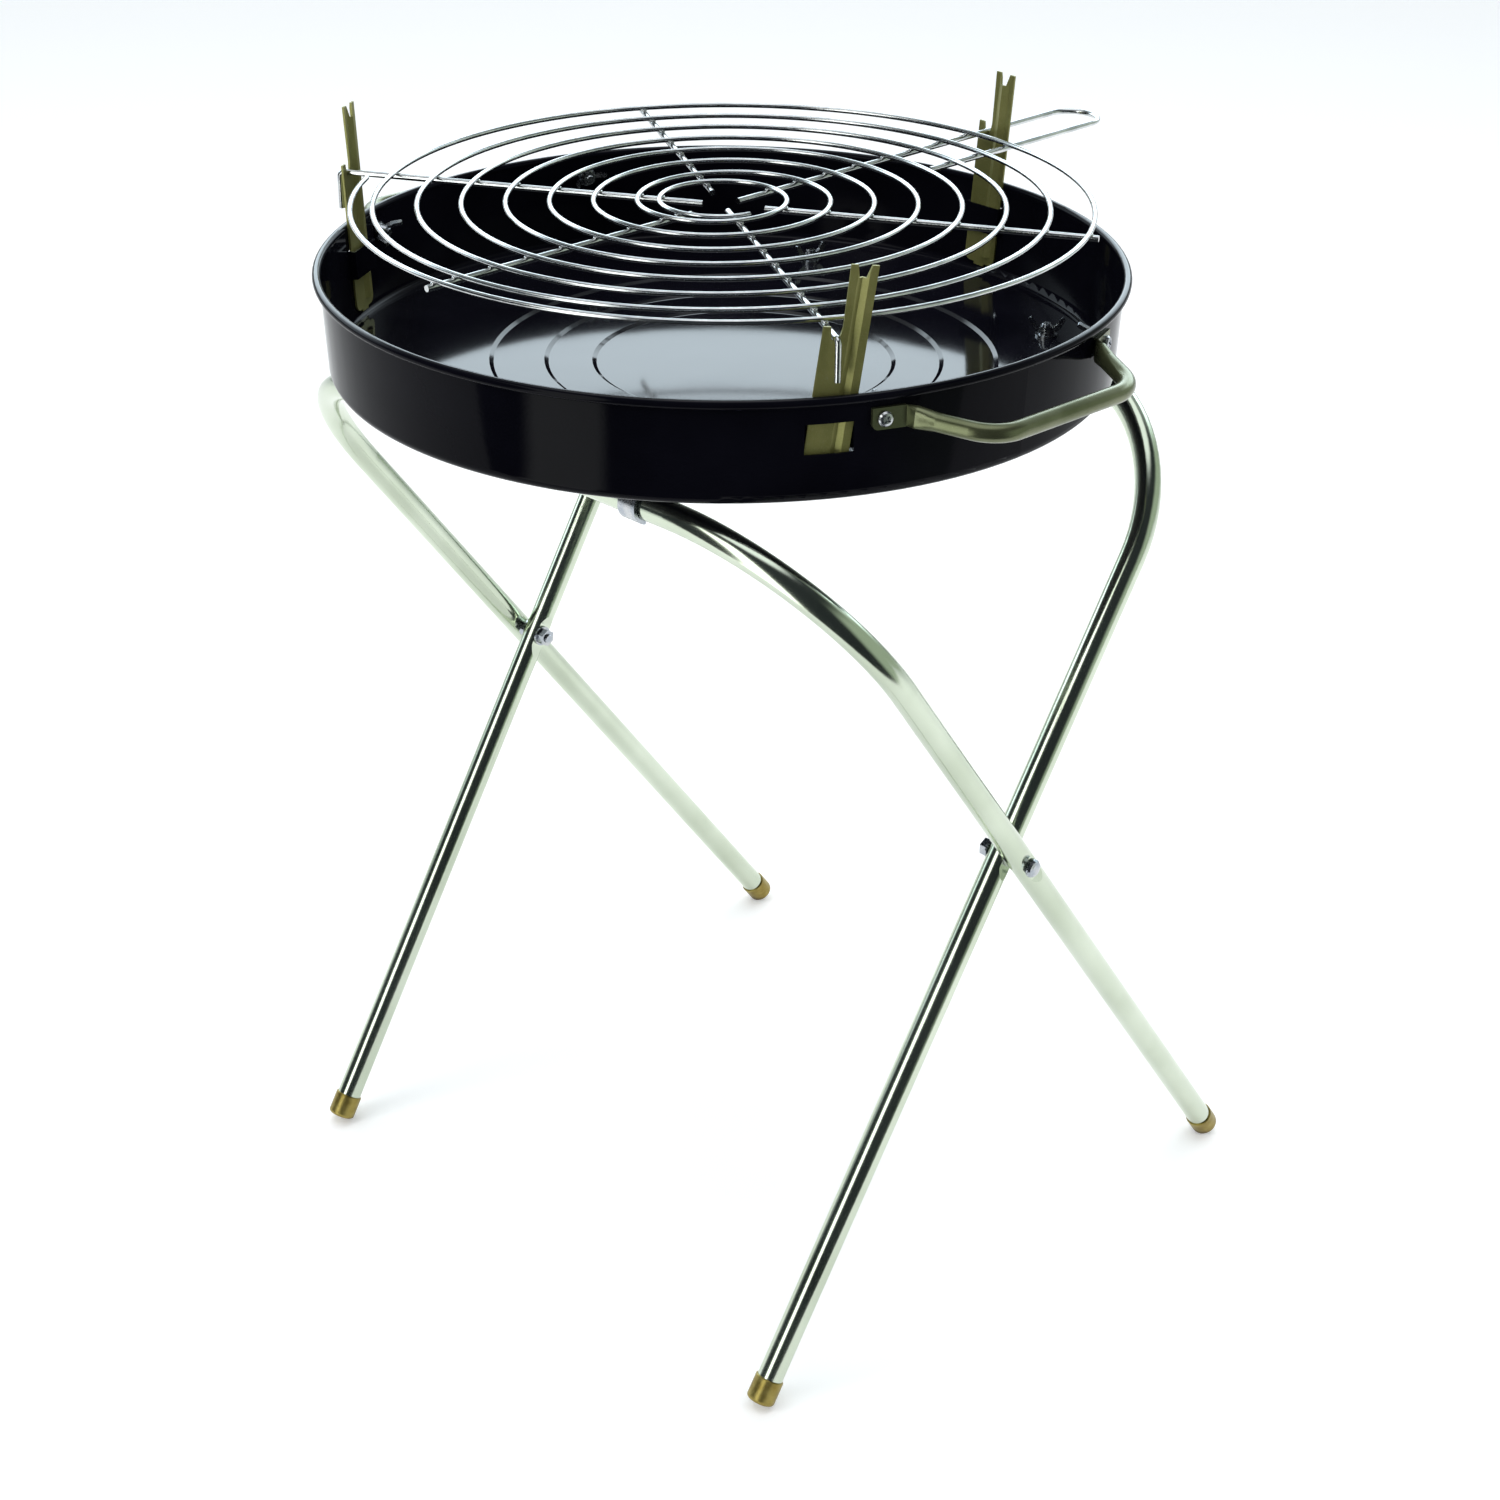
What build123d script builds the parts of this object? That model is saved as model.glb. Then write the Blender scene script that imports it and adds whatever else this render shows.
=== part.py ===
from build123d import *
from math import acos, atan, cos, degrees, hypot, radians, sin, sqrt, tan
import os

# Folding charcoal grill: a round fire pan on two crossing tube hoops, with three slotted posts that
# carry a lift-off spiral grid. Millimetres. X runs along the leg pivots, Z up from the ground, and
# the origin is on the ground under the middle of the grill.

os.makedirs("parts", exist_ok=True)

# ---- driving sizes: fire pan ---------------------------------------------------------------------
rim_r = 235.0            # outside of the rolled rim
rim_height = 628.0       # top of the rim above the ground; other heights hang from it
bead_r = 2.6             # rolled bead of the rim
sheet = 1.0              # pan sheet
pan_depth = 60.0         # rim top to the underside of the floor
wall_draft = 2.4         # how far the wall closes in from rim to floor
corner_r = 6.0           # outside corner between wall and floor
ring_radii = [89.0, 117.0, 149.0]   # pressed steps in the floor
ring_step = 1.2          # height of one step
ring_run = 2.5           # width of one step
ring_shift = 9.0         # the rings are pressed off centre, towards +X and +Y

# ---- driving sizes: posts and their straps -------------------------------------------------------
post_width = 24.0
post_sheet = 1.2
post_rise = 68.0         # forked tips above the rim
fork_depth = 7.0
fork_width = 8.0
blade_width = 14.6       # wide blade of the post
tine_width = 4.8         # narrow blade on the other side of the slot
tine_rise = 5.4          # tine tip above the middle of the wire in the slot
slot_top_flare = 0.9     # the slot opens by this much on each side
crease_height = 2.0      # pressed V along the wide blade
crease_width = 6.0
post_gap = 0.3           # post to wall and strap
post_foot_r = 5.0
foot_tab_width = 8.0
foot_tab_drop = 1.6
strap_height = 17.0      # strap lanced from the pan wall
strap_drop = 24.0        # its middle below the rim
strap_side_gap = 0.15    # room beside the post that leans most
strap_bend = 1.6         # the strap's ends where they leave the wall
front_lean = 7.0         # posts sit loosely and lean sideways, degrees
back_lean = 2.5
left_lean = 0.0

# ---- driving sizes: grid -------------------------------------------------------------------------
grid_rise = 30.3         # centre of the spokes above the rim
grid_inside = 23.5       # outer turn of the spiral wire, in from the rim
grid_pitch = 25.0        # wire to wire
grid_half_turns = 15     # half turns from the outer turn to the smallest
grid_turned = 45.0       # direction of the line on which the half turns join, degrees
spiral_lead = 10.0       # outer end, before the first half turn, degrees
spiral_tail = 124.0      # last stretch of the spiral's inner end, degrees
ring_wire_r = 1.5
spoke_r = 1.8
weld_gap = 0.02
seat_gap = 0.1           # spoke above the seat in a post
slot_gap = 0.5           # spoke to each side of its slot
long_spoke_start = 12.0
short_spoke_start = 25.0
spoke_over = 5.0         # plain spokes past the outer turn
hook_past = 3.9          # bent-down leg of a hook beyond the post's back
hook_drop = 22.0
hook_bend = 3.2
grid_past_rim = 74.8     # hairpin handle beyond the rim
hairpin_r = 16.5
hairpin_return = 140.0   # where its return leg ends

# ---- driving sizes: leg hoops --------------------------------------------------------------------
tube_r = 7.94
tube_wall = 1.2
pivot_share = 0.4889     # height of the pivots as a share of the rim height
pivot_offset = 27.0      # pivot axis behind the pan's centre
inner_lean = 32.37       # legs from vertical, degrees
outer_lean = 37.11
inner_half = 209.5       # middle of the grill to the inner legs, at the pivots
leg_space = 17.1         # inner leg to outer leg at a pivot, centre to centre
inner_taper = 0.76       # legs close in towards the feet, degrees
outer_taper = 1.52
inner_bend = 98.0
outer_bend = 108.0
pinch = 1.8              # flattening of each side of a tube at its pivot
pinch_flat = 16.0
pinch_ramp = 9.0
cap_wall = 0.85
cap_floor = 1.6
cap_length = 16.0
cap_round = 2.5
cap_fit = 0.05

# ---- driving sizes: straps and hooks under the floor ---------------------------------------------
strap_x = (-87.0, 110.0)
hook_x = (-98.0, 98.0)
clip_width = 13.0
loop_sheet = 1.5         # strap round the inner hoop's bar
hook_sheet = 2.0         # hook under the outer hoop's bar
bar_running = 0.08       # bar in its strap
bar_catch = 0.3          # bar in its hook
clip_bolt = 18.0         # bar centre to bolt centre
clip_end = 7.5           # sheet past the bolt
hook_open = 80.0         # the hook's lip ends this many degrees round from its outer side
spacer_height = 8.0      # strap below the floor

# ---- driving sizes: fasteners --------------------------------------------------------------------
bolt_r = 3.0             # floor and pivot bolts
hole_fit = 0.15
pivot_running = 0.08
pivot_side = 0.3         # pivot hardware to the sides of the inner legs
seat_fit = 0.02          # faces that are screwed together
bolt_head_r = 5.6
bolt_head_height = 3.4
nut_flats = 10.0
nut_height = 5.0
washer_r = 6.6
washer_sheet = 1.2
spacer_r = 5.5
bolt_end = 1.6           # thread past a nut
wing_hub_r = 4.7
wing_hub_height = 5.0
wing_span = 21.0
wing_height = 10.0
wing_sheet = 2.2
rivet_head_r = 4.6
rivet_head_height = 1.8
screw_r = 2.5            # handle screws
screw_head_r = 4.2
screw_head_height = 2.6
cross_span = 4.6         # cross recess in the screw heads
cross_width = 1.0
cross_depth = 1.5

# ---- driving sizes: side handles -----------------------------------------------------------------
handle_r = 5.1
screw_drop = 15.0        # handle screws below the rim
grip_drop = 4.5          # the grip hangs lower than its screws
grip_past_rim = 30.5     # middle of the grip beyond the rim
grip_half = 53.0         # half length of the grip, to its corners
handle_bend = 24.0
screw_past_post = 15.4   # edge of the front post to the nearest screw, along the rim
handle_turned = {"right": -1.7, "left": 180.0}
tab_before = 7.0         # tab past its screw, at its free end
tab_after = 12.0         # screw to the neck
tab_height = 12.0
tab_corner = 3.5
tab_sheet = 2.4
neck_length = 17.0       # from flattened tab to round tube
neck_swell = 6.0         # where the neck has opened out
neck_height = 12.4
neck_depth = 7.4

# ---- worked out ----------------------------------------------------------------------------------
pan_y = -grid_past_rim / 2              # rim in front and hairpin behind lie evenly about the origin
pivot_y = pan_y + pivot_offset
pivot_height = rim_height * pivot_share
strap_mid = rim_height - strap_drop
post_top = rim_height + post_rise
grid_height = rim_height + grid_rise
grid_r = rim_r - grid_inside
grid_reach = rim_r + grid_past_rim
screw_height = rim_height - screw_drop
handle_reach = rim_r + grip_past_rim
handle_angle = 30 - degrees((post_width / 2 + screw_past_post) / rim_r) + handle_turned["right"]
floor_under = rim_height - pan_depth
floor_top = floor_under + sheet
wall_low = floor_under + corner_r
wall_up = rim_height - bead_r
bead_centre = rim_r - bead_r
wall_out_up = bead_centre - bead_r / 2
wall_out_low = wall_out_up - wall_draft
draft_angle = degrees(atan(wall_draft / (wall_up - wall_low)))
outer_half = inner_half + leg_space
cap_r = tube_r + cap_fit + cap_wall
clip_top = floor_under - spacer_height
inner_bar_z = clip_top - loop_sheet - bar_running - tube_r
outer_bar_z = clip_top - hook_sheet - bar_catch - tube_r
inner_bar_y = pivot_y + (inner_bar_z - pivot_height) * tan(radians(inner_lean))
outer_bar_y = pivot_y - (outer_bar_z - pivot_height) * tan(radians(outer_lean))
rear_bolt_y = inner_bar_y - clip_bolt
front_bolt_y = outer_bar_y + clip_bolt
front_rivets_at = [(x, front_bolt_y) for x in hook_x]
rear_bolts_at = [(x, rear_bolt_y) for x in strap_x]
floor_holes_at = front_rivets_at + rear_bolts_at
nearest_hole = min(hypot(x - ring_shift, y - pan_y - ring_shift) for x, y in floor_holes_at)
ring_radii[-1] = min(ring_radii[-1], nearest_hole - washer_r - 1)      # the bolts stand on the flat
pan_axis = Axis((0, pan_y, 0), (0, 0, 1))

screw_places = [middle + side * handle_angle for middle in handle_turned.values() for side in (-1, 1)]

# post angles about the pan's centre, sideways lean, and the side of the slot seen from inside
post_places = {"left": (210, left_lean, -1), "front": (-30, front_lean, 1), "back": (90, back_lean, -1)}


def wall_outside(z):
    """Outside radius of the pan wall at a height."""
    return wall_out_low + wall_draft * (z - wall_low) / (wall_up - wall_low)


def spoke_plane(angle, z):
    """Level plane at a height, with its x along a direction from the pan's centre."""
    return Plane(origin=(0, pan_y, z), x_dir=(cos(radians(angle)), sin(radians(angle)), 0), z_dir=(0, 0, 1))


def wall_plane(angle, z, radius):
    """Plane tangent to the pan: x to the right seen from inside, y up, z towards the pan's axis."""
    c, s = cos(radians(angle)), sin(radians(angle))
    return Plane(origin=(radius * c, pan_y + radius * s, z), x_dir=(s, -c, 0), z_dir=(-c, -s, 0))


def turned(plane, x, y, z):
    """A plane turned about its own axes, degrees."""
    return Plane(plane.location * Rotation(x, y, z))


def turn(seat, outline, mode=Mode.ADD):
    """Turned piece: outline of (radius, distance along the seat's normal), spun about that normal."""
    with BuildSketch(Plane(origin=seat.origin, x_dir=seat.x_dir, z_dir=-seat.y_dir)) as profile:
        Polygon(*outline, align=None)
    revolve(profile.sketch, axis=Axis(seat.origin, seat.z_dir), mode=mode)


def ring(seat, outer, inner, height):
    """Washer or spacer standing on a seat."""
    with BuildSketch(seat) as profile:
        Circle(outer)
        Circle(inner, mode=Mode.SUBTRACT)
    extrude(profile.sketch, amount=height)


def bolt(seat, radius, length, head_radius, head_height):
    """Round-headed bolt: the head stands behind the seat and the shank runs along its normal."""
    crown = head_height * 0.45
    turn(seat, [(0, length), (radius - 0.4, length), (radius, length - 0.6), (radius, 0),
                (head_radius, 0), (head_radius, -crown), (head_radius * 0.82, -head_height * 0.85),
                (head_radius * 0.5, -head_height), (0, -head_height)])


def wing_nut(seat, bore):
    """Wing nut standing on a seat: conical hub and two ears that rise and flare outwards."""
    turn(seat, [(bore, 0), (wing_hub_r, 0), (wing_hub_r * 0.8, wing_hub_height), (bore, wing_hub_height)])
    half = wing_span / 2
    for side in (-1, 1):
        with BuildSketch(Plane(origin=seat.origin, x_dir=seat.x_dir, z_dir=-seat.y_dir)) as ear:
            with BuildLine():
                Polyline((side * half * 0.62, wing_height * 0.62), (side * bore * 1.15, wing_hub_height * 0.7),
                         (side * bore * 1.15, 0.6), (side * wing_hub_r, 0.6),
                         (side * half * 0.8, wing_height * 0.34), (side * half, wing_height * 0.78))
                ThreePointArc((side * half, wing_height * 0.78), (side * half * 0.97, wing_height),
                              (side * half * 0.78, wing_height * 0.94))
                Line((side * half * 0.78, wing_height * 0.94), (side * half * 0.62, wing_height * 0.62))
            make_face()
        extrude(ear.sketch, amount=wing_sheet / 2, both=True)


# ---- fire pan ------------------------------------------------------------------------------------
post_back_at = {}        # back face of each post, in from the wall
for place, (angle, lean, slot_side) in post_places.items():
    inside = wall_outside(wall_low) - sheet
    edge = post_width / 2 + (strap_mid - wall_low) * sin(radians(lean))
    post_back_at[place] = inside - sqrt(inside ** 2 - edge ** 2) + post_gap
most_lean = radians(max(lean for angle, lean, slot_side in post_places.values()))
strap_depth = max(post_back_at.values()) + post_sheet + crease_height + post_gap
strap_half = post_width / 2 / cos(most_lean) + strap_height / 2 * sin(most_lean) + strap_side_gap
slot_half = spoke_r + slot_gap
slot_middle = post_width / 2 - tine_width - slot_half     # post centre to slot centre
slot_rise = slot_half - spoke_r - seat_gap                # wire centre to the centre of the slot's round


def strap_plane(place):
    """Plane of a strap and its post, with y up along the sloping wall."""
    angle, lean, slot_side = post_places[place]
    up = (grid_height + slot_rise - strap_mid) / cos(radians(draft_angle))
    along = (up - slot_middle * sin(radians(lean))) / cos(radians(lean))
    aside = slot_side * slot_middle * cos(radians(lean)) - slot_side * along * sin(radians(lean))
    radius = wall_outside(strap_mid) - sheet
    round_by = degrees(atan(aside / radius))
    return turned(wall_plane(angle + round_by, strap_mid, radius), -draft_angle, 0, 0), along


with BuildPart() as pan:
    with BuildSketch(Plane.XZ.offset(-pan_y)):
        with BuildLine():
            flat = wall_out_low - corner_r
            Line((0, floor_under), (flat, floor_under))
            CenterArc((flat, wall_low), corner_r, -90, 90)
            Line((wall_out_low, wall_low), (wall_out_up, wall_up))
            Line((wall_out_up, wall_up), (wall_out_up - sheet, wall_up))
            Line((wall_out_up - sheet, wall_up), (wall_out_low - sheet, wall_low))
            CenterArc((flat, wall_low), corner_r - sheet, 0, -90)
            Line((flat, floor_top), (0, floor_top))
            Line((0, floor_top), (0, floor_under))
        make_face()
        with Locations((bead_centre, wall_up)):
            Circle(bead_r)
    revolve(axis=pan_axis)
    # pressed floor: the flat is cut out and put back as steps that go down towards the middle
    ring_plane = Plane(origin=(ring_shift, pan_y + ring_shift, 0), z_dir=(0, 0, 1))
    with BuildSketch(ring_plane.offset(floor_under)):
        Circle(ring_radii[-1])
    extrude(amount=sheet, mode=Mode.SUBTRACT)
    steps = [(ring_radii[-1], 0)]
    for number, radius in enumerate(reversed(ring_radii)):
        steps.append((radius - ring_run, -(number + 1) * ring_step))
        if radius != ring_radii[0]:
            steps.append((ring_radii[-2 - number], -(number + 1) * ring_step))
    steps.append((0, -len(ring_radii) * ring_step))
    over = [(r, floor_top + drop) for r, drop in steps]
    under = [(r, floor_under + drop) for r, drop in reversed(steps)]
    with BuildSketch(Plane(origin=ring_plane.origin, x_dir=(1, 0, 0), z_dir=(0, -1, 0))):
        Polygon(*over, *under, align=None)
    revolve(axis=Axis(ring_plane.origin, (0, 0, 1)))
    # straps lanced inwards from the wall, and the windows that they leave
    for place in post_places:
        frame, along = strap_plane(place)
        level = Plane(origin=frame.origin, x_dir=frame.x_dir, z_dir=frame.y_dir)   # y outwards
        wide = strap_half + strap_bend
        with BuildSketch(level):
            Polygon((-wide, 0.4), (wide, 0.4), (strap_half + sheet, -strap_depth - sheet),
                    (-strap_half - sheet, -strap_depth - sheet), align=None)
        extrude(amount=strap_height / 2, both=True)
        with BuildSketch(level):
            Polygon((-strap_half, 4), (strap_half, 4), (strap_half, -strap_depth),
                    (-strap_half, -strap_depth), align=None)
        extrude(amount=strap_height / 2, both=True, mode=Mode.SUBTRACT)
    # holes for the floor bolts and the handle screws
    with BuildSketch(Plane.XY.offset(floor_under - 1)):
        with Locations(*floor_holes_at):
            Circle(bolt_r + hole_fit)
    extrude(amount=sheet + 2, mode=Mode.SUBTRACT)
    for angle in screw_places:
        with BuildSketch(wall_plane(angle, screw_height, rim_r)):
            Circle(screw_r + hole_fit)
        extrude(amount=12, mode=Mode.SUBTRACT)
pan.part.label = "pan"
export_step(pan.part, "parts/pan.step")


# ---- posts ---------------------------------------------------------------------------------------
for place, (angle, lean, slot_side) in post_places.items():
    frame, along = strap_plane(place)
    seat = turned(frame, 0, 0, slot_side * lean).offset(post_back_at[place])
    half = post_width / 2
    s = slot_side
    tip = (post_top - strap_mid) / cos(radians(draft_angle)) / cos(radians(lean))
    foot = -(strap_mid - wall_low) / cos(radians(draft_angle)) + abs(half * sin(radians(lean)))
    tine_tip = along - slot_rise + tine_rise
    blade_in = half - tine_width - 2 * slot_half          # edge of the wide blade beside the slot
    blade_mid = (blade_in - half) / 2
    with BuildPart() as post:
        with BuildSketch(seat):
            with BuildLine():
                Polyline((-s * half, foot), (-s * half, tip), (s * blade_in, tip),
                         (s * (blade_in - slot_top_flare), tine_tip), (s * blade_in, along))
                ThreePointArc((s * blade_in, along), (s * slot_middle, along - slot_half),
                              (s * (half - tine_width), along))
                Polyline((s * (half - tine_width), along),
                         (s * (half - tine_width + slot_top_flare), tine_tip), (s * half, tine_tip),
                         (s * half, foot), (-s * half, foot))
            make_face()
            with Locations((0, foot)):
                Rectangle(foot_tab_width, 2 * foot_tab_drop)
            corners = vertices().group_by(Axis.Y)
            fillet(corners[1].sort_by(Axis.X)[0], radius=post_foot_r)
            fillet(vertices().group_by(Axis.Y)[1].sort_by(Axis.X)[-1], radius=post_foot_r)
        extrude(amount=post_sheet)
        # pressed V along the wide blade
        top = Plane(origin=seat.origin, x_dir=seat.x_dir, z_dir=seat.y_dir)
        wide = crease_width / 2
        with BuildSketch(top.offset(foot + post_foot_r)):
            with Locations((s * blade_mid, 0)):
                Polygon((-wide - 0.9, 0), (wide + 0.9, 0), (wide + 0.9, -post_sheet),
                        (0, -post_sheet - crease_height), (-wide - 0.9, -post_sheet), align=None)
        extrude(amount=tip - foot - post_foot_r)
        with BuildSketch(top.offset(foot + post_foot_r)):
            with Locations((s * blade_mid, 0)):
                Polygon((-wide, 0.5), (-wide, 0), (0, -crease_height), (wide, 0), (wide, 0.5), align=None)
        extrude(amount=tip - foot - post_foot_r, mode=Mode.SUBTRACT)
        # fork at the top of the wide blade
        with BuildSketch(seat):
            with Locations((s * blade_mid, tip)):
                Polygon((-fork_width / 2, 1), (-fork_width / 4, -fork_depth), (fork_width / 4, -fork_depth),
                        (fork_width / 2, 1), align=None)
        extrude(amount=4 * post_sheet, both=True, mode=Mode.SUBTRACT)
    post.part.label = "post_" + place
    export_step(post.part, "parts/post_" + place + ".step")


# ---- grid ----------------------------------------------------------------------------------------
spiral_plane = spoke_plane(grid_turned, grid_height + spoke_r + weld_gap + ring_wire_r)
turns = [grid_r] + [grid_r - grid_pitch / 2 * count for count in range(grid_half_turns)]
turns.append(turns[-1])
with BuildPart() as grid_spiral:
    with BuildLine(spiral_plane) as spiral:
        CenterArc((0, 0), grid_r, 180 - spiral_lead, spiral_lead)
        side = -1
        for far, near in zip(turns, turns[1:]):
            start = 0 if side > 0 else 180
            CenterArc((side * (far - near) / 2, 0), (far + near) / 2, start, 180)
            side = -side
        tail_r = turns[-1] - grid_pitch / 8
        CenterArc((side * (turns[-1] - tail_r), 0), tail_r, 0 if side > 0 else 180, spiral_tail)
    with BuildSketch(Plane(origin=spiral.line @ 0, z_dir=spiral.line % 0)):
        Circle(ring_wire_r)
    sweep()
grid_spiral.part.label = "grid_spiral"
export_step(grid_spiral.part, "parts/grid_spiral.step")

hook_reach = (wall_outside(strap_mid) - sheet - post_gap + hook_past
              + (grid_height - strap_mid) * tan(radians(draft_angle)))
with BuildPart() as grid_hook_wires:
    for angle in (post_places["left"][0], post_places["front"][0]):
        c, s = cos(radians(angle)), sin(radians(angle))
        with BuildLine(Plane(origin=(0, pan_y, grid_height), x_dir=(c, s, 0), z_dir=(s, -c, 0))) as wire:
            FilletPolyline((long_spoke_start, 0), (hook_reach, 0), (hook_reach, -hook_drop), radius=hook_bend)
        with BuildSketch(Plane(origin=wire.line @ 0, z_dir=wire.line % 0)):
            Circle(spoke_r)
        sweep()
grid_hook_wires.part.label = "grid_hook_wires"
export_step(grid_hook_wires.part, "parts/grid_hook_wires.step")

with BuildPart() as grid_plain_wires:
    for angle in (30, 150, 270):
        with BuildSketch(Plane(origin=spoke_plane(angle, grid_height).from_local_coords((short_spoke_start, 0, 0)),
                               z_dir=spoke_plane(angle, grid_height).x_dir)):
            Circle(spoke_r)
        extrude(amount=grid_r + spoke_over - short_spoke_start)
grid_plain_wires.part.label = "grid_plain_wires"
export_step(grid_plain_wires.part, "parts/grid_plain_wires.step")

with BuildPart() as grid_handle_wire:
    straight = grid_reach - spoke_r - hairpin_r
    with BuildLine(spoke_plane(post_places["back"][0], grid_height)) as wire:
        Line((long_spoke_start, 0), (straight, 0))
        ThreePointArc((straight, 0), (straight + hairpin_r, -hairpin_r), (straight, -2 * hairpin_r))
        Line((straight, -2 * hairpin_r), (hairpin_return, -2 * hairpin_r))
    with BuildSketch(Plane(origin=wire.line @ 0, z_dir=wire.line % 0)):
        Circle(spoke_r)
    sweep()
grid_handle_wire.part.label = "grid_handle_wire"
export_step(grid_handle_wire.part, "parts/grid_handle_wire.step")


# ---- side handles --------------------------------------------------------------------------------
tab_in = wall_outside(screw_height + tab_height / 2) + seat_fit
for name, facing in handle_turned.items():
    level = spoke_plane(facing, screw_height)
    a = radians(handle_angle)
    tab_r = tab_in + tab_sheet / 2
    end_x = tab_r * cos(a) + tab_after * sin(a)
    end_y = tab_r * sin(a) - tab_after * cos(a)
    droop = degrees(atan(grip_drop / (handle_reach - end_x)))
    grip = turned(Plane(origin=level.from_local_coords((end_x, 0, 0)), x_dir=level.x_dir, z_dir=(0, 0, 1)),
                  0, droop, 0)
    grip_x = (handle_reach - end_x) / cos(radians(droop))
    out = Vector(grip_x, grip_half - end_y, 0).normalized()
    with BuildPart() as handle:
        neck_end = (out.X * neck_length, end_y + out.Y * neck_length)
        with BuildLine(grip) as path:
            FilletPolyline((neck_end[0], -neck_end[1]), (grip_x, -grip_half), (grip_x, grip_half), neck_end,
                           radius=handle_bend)
        with BuildSketch(Plane(origin=path.line @ 0, z_dir=path.line % 0)):
            Circle(handle_r)
        sweep()
        for side in (-1, 1):
            tab_way = level.from_local_coords((sin(a), -side * cos(a), 0)) - level.origin
            out_way = grip.from_local_coords((out.X, side * out.Y, 0)) - grip.origin
            tab_end = level.from_local_coords((end_x, side * end_y, 0))
            swell_at = grip.from_local_coords((out.X * neck_swell, side * (end_y + out.Y * neck_swell), 0))
            neck_at = grip.from_local_coords((neck_end[0], side * neck_end[1], 0))
            with BuildSketch(Plane(origin=tab_end, x_dir=(0, 0, 1), z_dir=tab_way)):
                RectangleRounded(tab_height, tab_sheet, tab_sheet * 0.45)
            with BuildSketch(Plane(origin=swell_at, x_dir=(0, 0, 1), z_dir=out_way)):
                RectangleRounded(neck_height, neck_depth, neck_depth * 0.45)
            loft()
            with BuildSketch(Plane(origin=swell_at, x_dir=(0, 0, 1), z_dir=out_way)):
                RectangleRounded(neck_height, neck_depth, neck_depth * 0.45)
            with BuildSketch(Plane(origin=neck_at, x_dir=(0, 0, 1), z_dir=out_way)):
                Circle(handle_r)
            loft()
            face = level.from_local_coords((cos(a), side * sin(a), 0)) - level.origin
            screw_at = level.from_local_coords((tab_r * cos(a), side * tab_r * sin(a), 0))
            with BuildSketch(Plane(origin=screw_at, x_dir=tab_way, z_dir=face)) as tab:
                with Locations(((tab_after - tab_before) / 2, 0)):
                    Rectangle(tab_after + tab_before, tab_height)
                fillet(tab.vertices().group_by(Axis(screw_at, tab_way))[0], radius=tab_corner)
            extrude(amount=tab_sheet / 2, both=True)
        for side in (-1, 1):
            with BuildSketch(wall_plane(facing + side * handle_angle, screw_height, rim_r + 5)):
                Circle(screw_r + hole_fit)
            extrude(amount=12, mode=Mode.SUBTRACT)
    handle.part.label = "handle_" + name
    export_step(handle.part, "parts/handle_" + name + ".step")

tab_out = tab_in + tab_sheet
wall_in = wall_outside(screw_height - washer_r) - sheet - 0.1      # less the wall's roundness
with BuildPart() as handle_screws:
    for angle in screw_places:
        reach = tab_out - wall_in + 2 * seat_fit + washer_sheet + wing_hub_height + bolt_end
        bolt(wall_plane(angle, screw_height, tab_out + seat_fit), screw_r, reach,
             screw_head_r, screw_head_height)
        crown = wall_plane(angle, screw_height, tab_out + seat_fit + screw_head_height)
        with BuildSketch(turned(crown, 0, 0, 35)) as cross:
            Rectangle(cross_span, cross_width)
            Rectangle(cross_width, cross_span)
        extrude(cross.sketch, amount=cross_depth, mode=Mode.SUBTRACT)
handle_screws.part.label = "handle_screws"
export_step(handle_screws.part, "parts/handle_screws.step")

with BuildPart() as handle_washers:
    for angle in screw_places:
        ring(wall_plane(angle, screw_height, wall_in - seat_fit), washer_r - 0.8, screw_r + hole_fit,
             washer_sheet)
handle_washers.part.label = "handle_washers"
export_step(handle_washers.part, "parts/handle_washers.step")

with BuildPart() as handle_wing_nuts:
    for angle, spin in zip(screw_places, (90, 70, 15, 25)):
        seat = wall_plane(angle, screw_height, wall_in - 2 * seat_fit - washer_sheet)
        wing_nut(turned(seat, 0, 0, spin), screw_r + hole_fit)
handle_wing_nuts.part.label = "handle_wing_nuts"
export_step(handle_wing_nuts.part, "parts/handle_wing_nuts.step")


# ---- leg hoops -----------------------------------------------------------------------------------
def hoop_plane(lean, way):
    """Plane of a hoop through the pivot axis, y up the legs; way is the side that the top leans to."""
    tilt = radians(lean)
    return Plane(origin=(0, pivot_y, pivot_height), x_dir=(1, 0, 0),
                 z_dir=(0, -cos(tilt), way * sin(tilt)))


def foot_at(half, lean, taper):
    """End of a foot cap on a hoop's plane, with the cap's edge on the ground."""
    tilt = acos(cos(radians(lean)) * cos(radians(taper)))
    lift = (cap_r - cap_round) * sin(tilt) + cap_round * (1 - cos(tilt))
    down = (pivot_height - lift) / cos(radians(lean))
    return Vector(half - down * tan(radians(taper)), -down, 0)


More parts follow.
